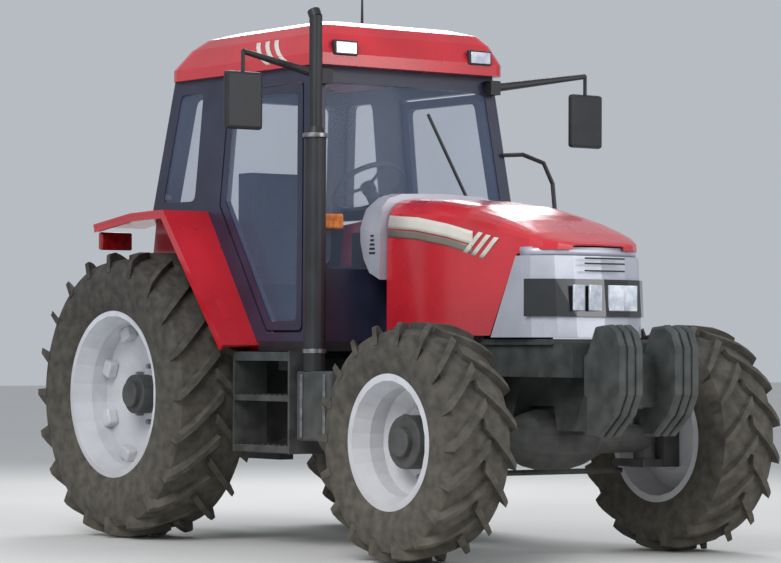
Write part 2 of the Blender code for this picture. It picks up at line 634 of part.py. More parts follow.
def rounded_rect(x, half_w, z, front_r, rear_r, steps=5):
    """A ring round the roof: (x, y) corners rounded by the front and rear radius."""
    ring = []
    for cx, cy, r, start in ((x[1] - front_r, half_w - front_r, front_r, 0), (x[0] + rear_r, half_w - rear_r, rear_r, 90),
                             (x[0] + rear_r, -half_w + rear_r, rear_r, 180), (x[1] - front_r, -half_w + front_r, front_r, 270)):
        for k in range(steps):
            angle = math.radians(start + 90 * k / (steps - 1))
            ring.append((cx + r * math.cos(angle), cy + r * math.sin(angle), z))
    return ring


# height above the cab frame, draw in at front and sides, draw in at rear
ROOF_STEPS = ((0.0, 0.0, 0.0), (0.060, 0.0, 0.0), (0.165, 0.045, 0.100), (0.215, 0.085, 0.180), (0.245, 0.180, 0.300),
              (ROOF_H, 0.420, 0.560))
roof_rings = []
for up, side_in, rear_in in ROOF_STEPS:
    roof_rings.append(rounded_rect((ROOF_X[0] + rear_in, ROOF_X[1] - side_in), ROOF_HALF_W - side_in,
                                   CAB_TOP_Z + up, 0.06 + side_in * 0.2,
                                   min(0.10 + side_in * 0.4, (ROOF_HALF_W - side_in) * 0.85)))
loft("roof", roof_rings, "red_paint")
rod("antenna", (0.800, 0, CAB_TOP_Z + ROOF_H + GAP), (0.800, 0, CAB_TOP_Z + ROOF_H + 0.350), 0.008, "black_trim",
    end_radius=0.002, sides=8)

# ------------------------------------------------------------------ fenders
fender_line = [(FENDER_REAR_X, 1.690), (-0.050, 1.738), (0.180, FENDER_TOP_Z), LEG_FROM, LEG_TO]


def drawn_in(line, amount):
    """The line moved towards the wheel."""
    hub = Vector((0, REAR_Z))
    points = []
    for i, point in enumerate(line):
        point = Vector(point)
        before = (point - Vector(line[i - 1])).normalized() if i else None
        after = (Vector(line[i + 1]) - point).normalized() if i < len(line) - 1 else None
        along = [d for d in (before, after) if d is not None]
        normals = [Vector((d.y, -d.x)) for d in along]
        normals = [n if n.dot(hub - point) > 0 else -n for n in normals]
        mean = sum(normals, Vector((0, 0))) / len(normals)
        points.append(tuple(point + mean / mean.dot(mean) * amount))
    return points


def shortened(line, amount):
    """The line with both ends pulled in."""
    first, second = Vector(line[0]), Vector(line[1])
    last, before = Vector(line[-1]), Vector(line[-2])
    return ([tuple(first + (second - first).normalized() * amount)] + line[1:-1]
            + [tuple(last + (before - last).normalized() * amount)])


MERGE = 0.002                 # how far joined sheets start inside each other
shell_outline = fender_line + list(reversed(drawn_in(fender_line, FENDER_T)))
under = shortened(fender_line, MERGE)
skirt_outline = drawn_in(under, MERGE) + list(reversed(drawn_in(under, FENDER_SKIRT)))
wall_outline = ([(rear_x(1.700), 1.715)] + drawn_in(fender_line, MERGE)[1:-1]
                + [(LEG_TO[0] - 0.001, LEG_TO[1] - 0.004), (LEG_TO[0] - 0.001, CAB_FLOOR_Z),
                   (rear_x(CAB_FLOOR_Z), CAB_FLOOR_Z)])
shell_y = (FENDER_Y[0] + MERGE, FENDER_Y[1])
for side, s in SIDES:
    fender = plate(f"fender_{side}", [shell_outline], shell_y[1] - shell_y[0], side_plane(s * sum(shell_y) / 2), "red_paint")
    join(fender,
         plate("fender_skirt", [skirt_outline], FENDER_T, side_plane(s * (FENDER_Y[1] - MERGE - FENDER_T / 2)), "red_paint"),
         plate("fender_wall", [wall_outline], FENDER_T, side_plane(s * (FENDER_Y[0] + FENDER_T / 2)), "red_paint"))

# ------------------------------------------------------------------ inside the cab
seat = box("seat", (0.020, 0.520), (-0.240, 0.240), (1.360, 1.460), "seat_fabric")
join(seat,
     box("seat_back", (-0.060, 0.070), (-0.220, 0.220), (1.420, 1.980), "seat_fabric"),
     box("seat_base", (0.080, 0.420), (-0.160, 0.160), (CAB_LOW, 1.380), "seat_fabric"))
dash = box("dashboard", (1.020, front_x(1.62) - FRAME_T - 0.004), (-0.220, 0.220), (CAB_LOW, 1.620), "black_trim")
WHEEL_AT, WHEEL_R = Vector((0.860, 0, 1.875)), 0.195
column_foot = Vector((1.080, 0, 1.580))
column_dir = (WHEEL_AT - column_foot).normalized()
join(dash, rod("column", column_foot, WHEEL_AT - column_dir * 0.030, 0.032, "black_trim"))
rim_ring = [(WHEEL_R + 0.014 * math.cos(a), -0.014 * math.sin(a)) for a in (math.radians(60 * k) for k in range(6))]
wheel = turned("steering_wheel", rim_ring, (0, 0, 0), "black_trim", steps=24)
tilt = column_dir.to_track_quat("Y", "Z").to_matrix().to_4x4()
wheel.matrix_local = Matrix.Translation(WHEEL_AT) @ tilt @ standing(1)
hub = rod("wheel_hub", WHEEL_AT - column_dir * 0.0295, WHEEL_AT + column_dir * 0.015, 0.040, "black_trim")
spokes = [rod("spoke", WHEEL_AT, WHEEL_AT + tilt @ Vector((math.cos(a), 0, math.sin(a))) * WHEEL_R, 0.009, "black_trim", sides=8)
          for a in (math.radians(120 * k + 90) for k in range(3))]
join(wheel, hub, *spokes)

# ------------------------------------------------------------------ outside the cab
box_in = ENGINE_HALF_W + GAP
for name, s in (("battery_box", -1), ("fuel_tank", 1)):
    tank = box(name, BOX_X, sorted((s * box_in, s * BOX_OUT_Y)), BOX_Z, "charcoal_paint")
    edge = tank.modifiers.new("edge", "BEVEL")
    edge.width = 0.012
    edge.segments = 2

STEP_Y = (0.620, 0.820)
for side, s in SIDES:
    across = sorted((s * STEP_Y[0], s * STEP_Y[1]))
    steps = box(f"steps_{side}", (STEP_X[0], STEP_X[0] + 0.016), across, (0.480, CAB_FLOOR_Z - GAP), "charcoal_paint")
    join(steps,
         box("step_front", (STEP_X[1] - 0.016, STEP_X[1]), across, (0.480, CAB_FLOOR_Z - GAP), "charcoal_paint"),
         box("step_low", (STEP_X[0] + 0.004, STEP_X[1] - 0.004), across, (0.484, 0.520), "charcoal_paint"),
         box("step_middle", (STEP_X[0] + 0.004, STEP_X[1] - 0.004), across, (0.745, 0.775), "charcoal_paint"),
         box("step_top", (STEP_X[0] + 0.004, STEP_X[1] - 0.004), across, (0.950, CAB_FLOOR_Z - GAP - 0.004), "charcoal_paint"),
         box("step_bracket", (0.950, 1.150), sorted((s * (0.180 + GAP), s * (STEP_Y[0] + 0.01))), (0.900, 0.960), "charcoal_paint"))

ex, ey = EXHAUST_AT
stack = rod("exhaust_stack", (ex, ey, BOX_Z[1] + GAP), (ex, ey, 2.080), 0.055, "black_trim", sides=20)
join(stack,
     rod("stack_neck", (ex, ey, 2.070), (ex, ey, 2.130), 0.060, "black_trim", end_radius=0.036, sides=20),
     rod("stack_tip", (ex, ey, 2.110), (ex, ey, 2.690), 0.033, "black_trim", sides=20),
     rod("stack_mouth", (ex, ey, 2.680), (ex - 0.020, ey, EXHAUST_TOP_Z), 0.033, "black_trim", sides=20))

MIRROR_AT = Vector((1.330, 1.110, 2.250))
for side, s in SIDES:
    def flip(x, y, z, s=s):
        return (x, s * y, z)
    mirror = box(f"mirror_{side}", (1.312, 1.352), sorted((s * 1.000, s * 1.220)), (2.105, 2.395), "black_trim")
    soft = mirror.modifiers.new("edge", "BEVEL")
    soft.width = 0.016
    soft.segments = 2
    root_x = front_x(2.370) + GAP
    join(mirror,
         rod("mirror_post", flip(1.330, 1.110, 2.380), flip(1.330, 1.110, 2.500), 0.010, "black_trim", sides=10),
         rod("mirror_arm", flip(root_x + 0.030, 0.560, 2.410), flip(1.330, 1.110, 2.495), 0.024, "black_trim",
             end_radius=0.014, sides=10),
         box("mirror_bracket", (root_x, root_x + 0.060), sorted((s * 0.515, s * 0.580)), (2.370, 2.445), "black_trim"))


def tube(name, points, radius, finish):
    """A bent round bar with closed ends."""
    curve = bpy.data.curves.new(name, "CURVE")
    curve.dimensions = "3D"
    curve.bevel_depth = radius
    curve.bevel_resolution = 2
    curve.use_fill_caps = True
    spline = curve.splines.new("POLY")
    spline.points.add(len(points) - 1)
    for point, at in zip(spline.points, points):
        point.co = (*at, 1)
    guide = bpy.data.objects.new(name, curve)
    bpy.context.scene.collection.objects.link(guide)
    bpy.context.view_layer.update()
    graph = bpy.context.evaluated_depsgraph_get()
    data = bpy.data.meshes.new_from_object(guide.evaluated_get(graph))
    bpy.data.objects.remove(guide)
    bm = bmesh.new()
    bm.from_mesh(data)
    bmesh.ops.remove_doubles(bm, verts=bm.verts, dist=1e-6)
    return mesh_from(bm, name, finish)


rail = [(front_x(2.05) + 0.0125, 0.600, 2.050), (front_x(2.05) + 0.060, 0.700, 2.055), (1.370, 0.790, 2.010),
        (1.385, 0.840, 1.900), (1.400, 0.850, 1.700), (1.420, 0.850, 1.300), (1.430, 0.820, 1.120),
        (front_x(1.08) + 0.0125, 0.700, 1.080)]
tube("grab_rail", rail, 0.012, "black_trim")

# ------------------------------------------------------------------ hitch
LINK_EYE_R = 0.040
LINK_END_X = -REAR_OVERHANG + LINK_EYE_R


def link_outline(x0, z0, x1, z1, r0, r1):
    """A flat bar with two round ends."""
    direction = math.atan2(z1 - z0, x1 - x0)
    points = []
    for cx, cz, r, start in ((x0, z0, r0, 90), (x1, z1, r1, -90)):
        for k in range(9):
            angle = direction + math.radians(start + 22.5 * k)
            points.append((cx + r * math.cos(angle), cz + r * math.sin(angle)))
    return points


def hole_at(x, z, radius, sides=16):
    return [(x + radius * math.cos(2 * math.pi * k / sides), z + radius * math.sin(2 * math.pi * k / sides))
            for k in range(sides)]


ROD_PIN_R, LINK_T = 0.011, 0.024
rod_x = HITCH_X - LIFT_REACH
bore = HITCH_PIN_R + RUNNING_GAP
for side, s in SIDES:
    plate(f"lower_link_{side}",
          [link_outline(HITCH_X, LINK_Z, LINK_END_X, LINK_Z, 0.040, LINK_EYE_R), hole_at(HITCH_X, LINK_Z, bore),
           hole_at(rod_x, LINK_Z, ROD_PIN_R + RUNNING_GAP), hole_at(LINK_END_X, LINK_Z, 0.014)],
          LINK_T, side_plane(s * LINK_Y), "charcoal_paint")
    plate(f"lift_arm_{side}",
          [link_outline(HITCH_X, LIFT_Z, rod_x, LIFT_Z, 0.040, 0.030), hole_at(HITCH_X, LIFT_Z, bore),
           hole_at(rod_x, LIFT_Z, ROD_PIN_R + RUNNING_GAP)],
          LINK_T, side_plane(s * LINK_Y), "charcoal_paint")
    beside = LINK_Y - LINK_T / 2 - 0.006 - 0.010
    lift_rod = plate(f"lift_rod_{side}", [link_outline(rod_x, LIFT_Z, rod_x, LINK_Z, 0.024, 0.024)], 0.020,
                     side_plane(s * beside), "charcoal_paint")
    for z in (LIFT_Z, LINK_Z):
        join(lift_rod, rod("rod_pin", (rod_x, s * beside, z), (rod_x, s * (LINK_Y + LINK_T / 2 + 0.006), z), ROD_PIN_R,
                           "charcoal_paint"))

HOUSING_REAR_X = -0.390
top_link = rod("top_link", (HOUSING_REAR_X - 0.010, 0, 0.800), (-0.860, 0, 0.720), 0.022, "charcoal_paint", sides=12)
top_link_bracket = box("top_link_bracket", (HOUSING_REAR_X - 0.060, HOUSING_REAR_X - GAP), (-0.050, 0.050), (0.740, 0.860),
                       "charcoal_paint")
join(top_link, top_link_bracket)
box("drawbar", (-0.760, 0.100), (-0.045, 0.045), (0.400, 0.440 - GAP), "charcoal_paint")

# ------------------------------------------------------------------ steering linkage
ARM_REACH, ARM_Y = 0.160, KINGPIN_Y - 0.035
ear_low = KINGPIN_Z[0] - 0.04
for side, s in SIDES:
    join(PARTS.objects[f"steering_knuckle_{side}"],
         box("steering_arm", (FRONT_X - ARM_REACH - 0.02, FRONT_X), sorted((s * (ARM_Y - 0.02), s * (ARM_Y + 0.02))),
             (ear_low + 0.001, KINGPIN_Z[0] - 2 * RUNNING_GAP), "charcoal_paint"))
track_z = ear_low - 0.022
rod("track_rod", (FRONT_X - ARM_REACH, -ARM_Y - 0.02, track_z), (FRONT_X - ARM_REACH, ARM_Y + 0.02, track_z), 0.014,
    "charcoal_paint", sides=12)
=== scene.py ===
# %% [markdown]
# # Farm tractor: finishes, tyres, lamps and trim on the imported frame
# The frame brings every panel, wheel and link at its real place. This script gives each of them its
# finish and adds what is too fine for the frame: tyre lugs, stripes, lamps, bolts and trim.
# %% Load the frame
import json
import math

import bmesh
import bpy
from mathutils import Matrix, Vector


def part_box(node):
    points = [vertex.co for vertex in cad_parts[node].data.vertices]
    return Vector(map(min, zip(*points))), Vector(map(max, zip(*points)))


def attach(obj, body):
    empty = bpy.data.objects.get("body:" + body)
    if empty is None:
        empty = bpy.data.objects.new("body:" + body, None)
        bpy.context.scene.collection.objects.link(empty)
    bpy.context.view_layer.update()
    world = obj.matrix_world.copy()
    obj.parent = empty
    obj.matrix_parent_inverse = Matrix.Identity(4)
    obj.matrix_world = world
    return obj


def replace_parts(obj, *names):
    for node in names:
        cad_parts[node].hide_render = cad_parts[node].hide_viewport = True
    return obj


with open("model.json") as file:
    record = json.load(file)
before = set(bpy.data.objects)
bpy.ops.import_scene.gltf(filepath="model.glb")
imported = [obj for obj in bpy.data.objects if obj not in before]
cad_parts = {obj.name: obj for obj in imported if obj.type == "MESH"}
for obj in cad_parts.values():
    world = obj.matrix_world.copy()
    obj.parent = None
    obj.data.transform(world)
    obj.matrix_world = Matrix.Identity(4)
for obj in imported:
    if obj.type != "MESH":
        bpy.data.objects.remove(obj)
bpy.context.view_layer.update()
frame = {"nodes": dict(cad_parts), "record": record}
NODES = frame["nodes"]

# %% [markdown]
# ## Finishes
# A tractor's paint is a thick enamel, dusty near the ground and glossy on the hood. One function builds
# every opaque finish from two tones, a patch size and a grain size in millimetres, so that paint, cast
# iron and rubber differ only in real numbers. Dust is mixed in by height, because soil is thrown up
# from below.
# %% Colours and nodes


def hex_colour(code):
    """An sRGB hex code as linear RGBA."""
    parts = [int(code[i:i + 2], 16) / 255 for i in (0, 2, 4)]
    return tuple(p / 12.92 if p <= 0.04045 else ((p + 0.055) / 1.055) ** 2.4 for p in parts) + (1,)


def add(tree, kind, **values):
    """Adds a node and sets its attributes or inputs by name."""
    node = tree.nodes.new(kind)
    for key, value in values.items():
        if hasattr(node, key):
            setattr(node, key, value)
        else:
            node.inputs[key.replace("_", " ")].default_value = value
    return node


def finish(name, light, dark, rough=(0.3, 0.5), size_mm=120, grain_mm=2, bump=0.1, metallic=0.0,
           coat=0.0, dust=None):
    """Paint, rubber or plastic: two tones in patches, varied roughness, fine grain, and low dust."""
    material = bpy.data.materials.new(name)
    material.use_nodes = True
    tree = material.node_tree
    shader = tree.nodes["Principled BSDF"]
    shader.inputs["Metallic"].default_value = metallic
    shader.inputs["Coat Weight"].default_value = coat
    shader.inputs["Coat Roughness"].default_value = 0.12
    place = add(tree, "ShaderNodeNewGeometry")
    patch = add(tree, "ShaderNodeTexNoise", Scale=1000 / size_mm, Detail=5.0)
    grain = add(tree, "ShaderNodeTexNoise", Scale=1000 / grain_mm, Detail=3.0)
    for texture in (patch, grain):
        tree.links.new(place.outputs["Position"], texture.inputs["Vector"])
    ramp = add(tree, "ShaderNodeValToRGB")
    ramp.color_ramp.elements[0].position, ramp.color_ramp.elements[1].position = 0.35, 0.68
    ramp.color_ramp.elements[0].color = hex_colour(dark)
    ramp.color_ramp.elements[1].color = hex_colour(light)
    tree.links.new(patch.outputs["Fac"], ramp.inputs["Fac"])
    colour = ramp.outputs["Color"]
    if dust:
        split = add(tree, "ShaderNodeSeparateXYZ")
        low = add(tree, "ShaderNodeMapRange", From_Min=1.3, From_Max=0.2, To_Min=0.0, To_Max=0.55)
        spread = add(tree, "ShaderNodeMath", operation="MULTIPLY")
        mix = add(tree, "ShaderNodeMix", data_type="RGBA")
        tree.links.new(place.outputs["Position"], split.inputs["Vector"])
        tree.links.new(split.outputs["Z"], low.inputs["Value"])
        tree.links.new(low.outputs["Result"], spread.inputs[0])
        tree.links.new(patch.outputs["Fac"], spread.inputs[1])
        tree.links.new(spread.outputs["Value"], mix.inputs["Factor"])
        tree.links.new(colour, mix.inputs["A"])
        mix.inputs["B"].default_value = hex_colour(dust)
        colour = mix.outputs["Result"]
    tree.links.new(colour, shader.inputs["Base Color"])
    shine = add(tree, "ShaderNodeMapRange", To_Min=rough[0], To_Max=rough[1])
    tree.links.new(patch.outputs["Fac"], shine.inputs["Value"])
    tree.links.new(shine.outputs["Result"], shader.inputs["Roughness"])
    relief = add(tree, "ShaderNodeBump", Strength=bump, Distance=0.0005)
    tree.links.new(grain.outputs["Fac"], relief.inputs["Height"])
    tree.links.new(relief.outputs["Normal"], shader.inputs["Normal"])
    return material


def see_through(name, tint, opacity):
    """Tinted pane that shows what is behind it."""
    material = finish(name, tint, tint, (0.03, 0.08), 300, 40, 0.02)
    material.node_tree.nodes["Principled BSDF"].inputs["Alpha"].default_value = opacity
    material.surface_render_method = "BLENDED"
    return material


FINISHES = {
    "red_paint": finish("red enamel", "CE2431", "B81C29", (0.22, 0.34), 400, 3, 0.05, coat=0.6),
    "silver_paint": finish("silver-grey paint", "BCBFCA", "A9ACB8", (0.32, 0.44), 300, 2, 0.06, 0.25, 0.3),
    "white_rim": finish("silver-white rim paint", "DADDE6", "C4C6CC", (0.32, 0.5), 160, 3, 0.1,
                        dust="A79C88"),
    "charcoal_paint": finish("dusty charcoal casting paint", "42484A", "2C3132", (0.5, 0.75), 90, 4, 0.35,
                             dust="6E6658"),
    "black_trim": finish("black moulded plastic", "26272B", "1A1B1E", (0.4, 0.6), 120, 1.5, 0.25),
    "cab_grey": finish("blue-black cab paint", "2F3148", "23253A", (0.3, 0.45), 200, 2, 0.08),
    "tyre_rubber": finish("dusty tyre rubber", "4F4C47", "35332F", (0.8, 0.95), 60, 4, 0.6, dust="7C7464"),
    "glass": see_through("pale cab glass", "8FA3C4", 0.12),
    "seat_fabric": finish("dark seat fabric", "2B3140", "1D212C", (0.85, 0.95), 30, 1.2, 0.7),
    "lamp": finish("black lamp housing", "202226", "15161A", (0.12, 0.2), 200, 3, 0.03, coat=0.8),
}
CREAM = finish("cream stripe film", "E0DCD3", "D2CDC3", (0.3, 0.42), 200, 2, 0.04)
BAND = finish("warm grey stripe film", "82796F", "756D64", (0.35, 0.45), 200, 2, 0.04)
LENS = finish("clear ribbed lens", "E9ECF4", "BFC6D4", (0.06, 0.14), 40, 6, 0.3, 0.35, 0.9)
AMBER = finish("amber lens", "E0882C", "B9601C", (0.1, 0.2), 30, 5, 0.3, coat=0.8)
RED_LENS = finish("red lens", "A81A1E", "7E1014", (0.1, 0.2), 30, 5, 0.3, coat=0.8)
MIRROR = finish("mirror glass", "D4DAE2", "C6CCD6", (0.03, 0.06), 300, 60, 0.01, 1.0)
STEEL = finish("worn bright steel", "A3A4A6", "75767A", (0.25, 0.45), 40, 1.5, 0.2, 0.9)
for entry in frame["record"]["subparts"]:
    NODES[entry["node"]].data.materials.clear()
    NODES[entry["node"]].data.materials.append(FINISHES[entry["material_slot"]])
    data = NODES[entry["node"]].data
    data.shade_smooth()
    data.set_sharp_from_angle(angle=math.radians(32))
print(len(FINISHES), "finishes on", len(NODES), "nodes")

# %% [markdown]
# ## Helpers
# Each small piece is drawn in a bmesh, softened with a Bevel modifier and made to ride on the body that
# carries it, so that it follows the hood, a door or a wheel.
# %% Mesh helpers


def piece(name, bm, body, material, soften=0.0):
    """Turns a bmesh into a piece that rides on a body."""
    data = bpy.data.meshes.new(name)
    bmesh.ops.recalc_face_normals(bm, faces=bm.faces)
    bm.to_mesh(data)
    bm.free()
    data.materials.append(material)
    data.shade_smooth()
    data.set_sharp_from_angle(angle=math.radians(35))
    obj = bpy.data.objects.new(name, data)
    bpy.context.scene.collection.objects.link(obj)
    if soften:
        edge = obj.modifiers.new("edge", "BEVEL")
        edge.width = soften
        edge.segments = 3
    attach(obj, body)
    return obj


def block(bm, centre, size, turn=Matrix.Identity(4)):
    """A box about a centre, turned if asked."""
    place = Matrix.Translation(centre) @ turn @ Matrix.Diagonal((*size, 1))
    bmesh.ops.create_cube(bm, size=1, matrix=place)


def barrel(bm, centre, radius, depth, axis="Y", sides=24):
    """A capped cylinder or prism along Y or Z."""
    turn = Matrix.Rotation(math.pi / 2, 4, "X") if axis == "Y" else Matrix()
    bmesh.ops.create_cone(bm, cap_ends=True, segments=sides, radius1=radius, radius2=radius, depth=depth,
                          matrix=Matrix.Translation(centre) @ turn)


# %% [markdown]
# ## Tyres
# A drive tyre is a smooth carcass with tall bars that start near the middle and sweep back over the
# shoulder, left and right in turn. The carcass is a section swept round in a loop, and each lug is a
# short loft of four corners that follows the same circle.
# %% Tyres with chevron lugs


def tyre(name, body, lugs, lug_height):
    """A carcass swept round the wheel's centre with two rows of bars, in place of the plain node."""
    low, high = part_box(name)
    centre = (low + high) / 2
    radius, half = (high.z - low.z) / 2, (high.y - low.y) / 2
    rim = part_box(name.replace("tyre", "rim"))
    bead = (rim[1].z - rim[0].z) / 2 - 0.022
    carcass = radius - lug_height
    section = [(bead, half * 0.80), (bead + 0.035, half * 0.93), ((bead + carcass) / 2, half),
               (carcass - 0.055, half * 0.96), (carcass - 0.018, half * 0.86), (carcass, half * 0.5),
               (carcass + 0.004, 0)]
    section += [(r, -y) for r, y in reversed(section[:-1])]
    bm = bmesh.new()
    rings = []
    steps = 72
    for k in range(steps):
        angle = 2 * math.pi * k / steps
        cosine, sine = math.cos(angle), math.sin(angle)
        rings.append([bm.verts.new((centre.x + r * cosine, centre.y + y, centre.z + r * sine))
                      for r, y in section])
    for k in range(steps):
        a, b = rings[k], rings[(k + 1) % steps]
        for i in range(len(section)):
            j = (i + 1) % len(section)
            bm.faces.new((a[i], a[j], b[j], b[i]))
    # each lug runs from just past the crown out over the shoulder, sweeping back as it goes
    for k in range(lugs):
        for hand in (-1, 1):
            start = 2 * math.pi * (k + (0.5 if hand > 0 else 0)) / lugs
            rows = []
            for t in (0, 0.35, 0.7, 0.92, 1.06):
                y = hand * half * (-0.06 + 0.99 * t)
                top = radius - 0.002 if t < 0.8 else radius - 0.012 - 0.09 * max(0, t - 0.92)
                base = carcass - 0.02 if t < 0.9 else carcass - 0.07
                y = max(-half * 0.995, min(half * 0.995, y))
                sweep = start - 0.30 * t * (0.772 / radius) ** 0.5
                wide = 0.017 + 0.007 * (1 - t)
                ring = []
                for r, w in ((base, wide * 1.5), (top, wide), (top, -wide), (base, -wide * 1.5)):
                    angle = sweep + w / radius
                    at = (centre.x + r * math.cos(angle), centre.y + y, centre.z + r * math.sin(angle))
                    ring.append(bm.verts.new(at))
                rows.append(ring)
            for a, b in zip(rows, rows[1:]):
                for i in range(4):
                    bm.faces.new((a[i], a[(i + 1) % 4], b[(i + 1) % 4], b[i]))
            bm.faces.new(rows[0])
            bm.faces.new(rows[-1])
    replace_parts(piece(name + "_lugged", bm, body, FINISHES["tyre_rubber"]), name)


RIM_BRACKETS, BRACKET_CIRCLE = 8, 0.350
for side in ("left", "right"):
    s = 1 if side == "left" else -1
    tyre(f"rear_tyre_{side}", f"rear_wheel_{side}", 20, 0.042)
    tyre(f"front_tyre_{side}", f"front_wheel_{side}", 18, 0.036)
    for end, bolts, bolt_circle, hub_radius in (("rear", 8, 0.150, 0.105), ("front", 8, 0.165, 0.128)):
        low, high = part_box(f"{end}_rim_{side}")
        mid = (low + high) / 2
        bm = bmesh.new()
        for k in range(bolts):
            angle = 2 * math.pi * k / bolts
            across, up = bolt_circle * math.cos(angle), bolt_circle * math.sin(angle)
            barrel(bm, (mid.x + across, mid.y - s * 0.035, mid.z + up), 0.014, 0.04, sides=6)
        piece(f"{end}_wheel_bolts_{side}", bm, f"{end}_wheel_{side}", STEEL)
        bm = bmesh.new()
        barrel(bm, (mid.x, mid.y + s * 0.020, mid.z), hub_radius, 0.10)
        barrel(bm, (mid.x, mid.y + s * 0.075, mid.z), 0.07, 0.05)
        piece(f"{end}_hub_cover_{side}", bm, f"{end}_wheel_{side}", FINISHES["charcoal_paint"],
              0.006)
    low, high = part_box(f"rear_rim_{side}")
    mid = (low + high) / 2
    bm = bmesh.new()
    for k in range(RIM_BRACKETS):
        angle = 2 * math.pi * (k + 0.5) / RIM_BRACKETS
        turn = Matrix.Rotation(-angle, 4, "Y")
        across, up = BRACKET_CIRCLE * math.cos(angle), BRACKET_CIRCLE * math.sin(angle)
        at = (mid.x + across, mid.y + s * 0.020, mid.z + up)
        block(bm, at, (0.070, 0.060, 0.090), turn)
    piece(f"rear_rim_brackets_{side}", bm, f"rear_wheel_{side}", FINISHES["white_rim"], 0.012)
print("tyres and hubs done")

# %% [markdown]
# ## Stripes
# The stripes are thin film laid on the paint. Their lines are given along the machine, and the skin
# function says how far out the painted surface is at each point, so the film lies on the curve.
# %% Stripes on the hood sides and the roof
hood_low, hood_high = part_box("hood")
rear_x, side_y, crown_z = hood_low.x, hood_high.y, hood_high.z
SHOULDER_Z = crown_z - 0.285


def hood_skin(x, z):
    """Half width of the hood's outside at a place along it and a height."""
    along = x - rear_x
    crown = crown_z - SHOULDER_Z - (0.054 * along if along < 0.37 else 0.020 + 0.153 * (along - 0.37))
    rise = max(0.0, min(0.98, (z - SHOULDER_Z) / crown))
    return (side_y - 0.012 * along) * (1 - rise ** 4.5) ** (1 / 4.5)


FILM_LIFT, FILM_THICK = 0.0018, 0.001


def film(name, corners, body, material, skin, s):
    """A thin film laid on a skin, between an upper and a lower line of (x, z)."""
    bm = bmesh.new()
    rows = []
    for (x0, z0), (x1, z1) in corners:
        row = []
        for k in range(5):
            x, z = x0 + (x1 - x0) * k / 4, z0 + (z1 - z0) * k / 4
            row.append(bm.verts.new((x, s * (skin(x, z) + FILM_LIFT), z)))
        rows.append(row)
    for a, b in zip(rows, rows[1:]):
        for i in range(4):
            bm.faces.new((a[i], a[i + 1], b[i + 1], b[i]))
    obj = piece(name, bm, body, material)
    wall = obj.modifiers.new("film", "SOLIDIFY")
    wall.thickness = FILM_THICK
    wall.offset = 0


def line(points, drop):
    """Pairs of an upper point and the point that far below it, for film."""
    return [((x, z), (x, z - drop)) for x, z in points]


roof_low, roof_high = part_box("roof")


def roof_skin(x, z):
    """Half width of the roof's side at a height; it is the same all along."""
    up = z - roof_low.z
    return roof_high.y - (0.0 if up < 0.060 else (up - 0.060) * 0.045 / 0.105)


BAND_TOP = [(rear_x + x, z) for x, z in ((0.008, 1.690), (0.250, 1.672), (0.500, 1.632), (0.700, 1.590))]
for side, s in (("left", 1), ("right", -1)):
    film(f"hood_band_{side}", line(BAND_TOP, 0.066), "hood", CREAM, hood_skin, s)
    film(f"hood_low_band_{side}", line([(x, z - 0.072) for x, z in BAND_TOP], 0.038), "hood", BAND,
         hood_skin, s)
    for k in range(3):
        x0 = rear_x + 0.745 + 0.062 * k
        z0 = 1.585 - 0.014 * k
        slash = [((x0 - 0.030 * i, z0 - 0.024 * i), (x0 + 0.036 - 0.030 * i, z0 - 0.024 * i - 0.006))
                 for i in range(5)]
        film(f"hood_slash_{side}_{k}", slash, "hood", CREAM, hood_skin, s)
        x1 = roof_low.x + 0.830 + 0.085 * k
        sweep = [((x1 + 0.150 * (i / 5) ** 1.6, roof_low.z + 0.155 - 0.026 * i),
                  (x1 + 0.040 + 0.150 * (i / 5) ** 1.6, roof_low.z + 0.155 - 0.026 * i)) for i in range(6)]
        film(f"roof_stripe_{side}_{k}", sweep, "body", CREAM, roof_skin, s)
print("stripes done")

# %% [markdown]
# ## Nose rim
# The silver nose meets the red hood in a narrow joint. A thin band behind the joint closes the view into
# the engine bay, as the real seal does.
# %% Rim of the nose under the hood's lip
nose_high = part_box("nose_cowling")[1]
LIP = ((-0.175, 0.345), (-0.120, 0.335), (-0.075, 0.305), (-0.040, 0.255), (-0.015, 0.160), (0.0, 0.0))
bm = bmesh.new()
rows = []
for x, y in list(LIP) + [(x, -y) for x, y in reversed(LIP[:-1])]:
    rows.append([bm.verts.new((hood_high.x + x - 0.002, y * 0.995, nose_high.z + up))
                 for up in (-0.004, 0.042)])
for a, b in zip(rows, rows[1:]):
    bm.faces.new((a[0], a[1], b[1], b[0]))
lip = piece("nose_lip", bm, "hood", FINISHES["silver_paint"])
wall = lip.modifiers.new("wall", "SOLIDIFY")
wall.thickness = 0.006
wall.offset = -1

